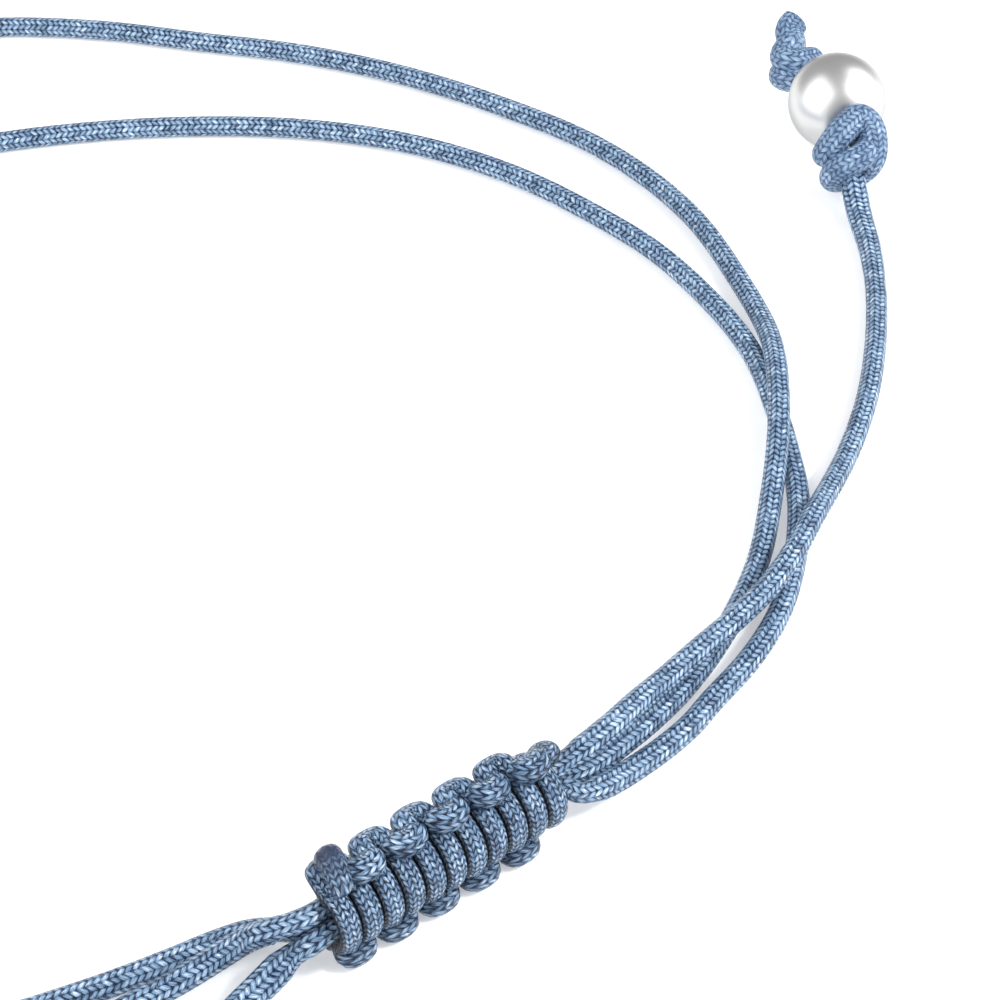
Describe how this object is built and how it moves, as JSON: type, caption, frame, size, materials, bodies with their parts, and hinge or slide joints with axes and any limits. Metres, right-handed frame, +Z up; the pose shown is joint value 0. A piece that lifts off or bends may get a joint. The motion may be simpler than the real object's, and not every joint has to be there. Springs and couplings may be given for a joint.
{
  "type": "cord bracelet",
  "caption": "Double-turn bracelet of one braided cord, closed by a sliding macrame knot, with a metal ball between stopper knots on each free end.",
  "frame": {"origin": "middle of the foot of the box round the two turns and the sliding knot, on the table", "axes": "+Z up from the table; +Y away from the viewer of the picture; +X to the right, towards the side where the two turns cross"},
  "size_m": [0.0773, 0.0754, 0.005],
  "materials": {
    "braided_cord": "tight braid, slightly waxed",
    "tying_cord": "tight braid, slightly waxed",
    "polished_metal": "polished"
  },
  "bodies": {
    "root": {"band_turn_a": "braided_cord", "band_turn_b": "braided_cord", "slider_knot": "tying_cord", "free_end_right": "braided_cord", "inner_stop_right": "braided_cord", "bead_right": "polished_metal", "outer_stop_right": "braided_cord", "free_end_left": "braided_cord", "inner_stop_left": "braided_cord", "bead_left": "polished_metal", "outer_stop_left": "braided_cord"}
  },
  "joints": []
}
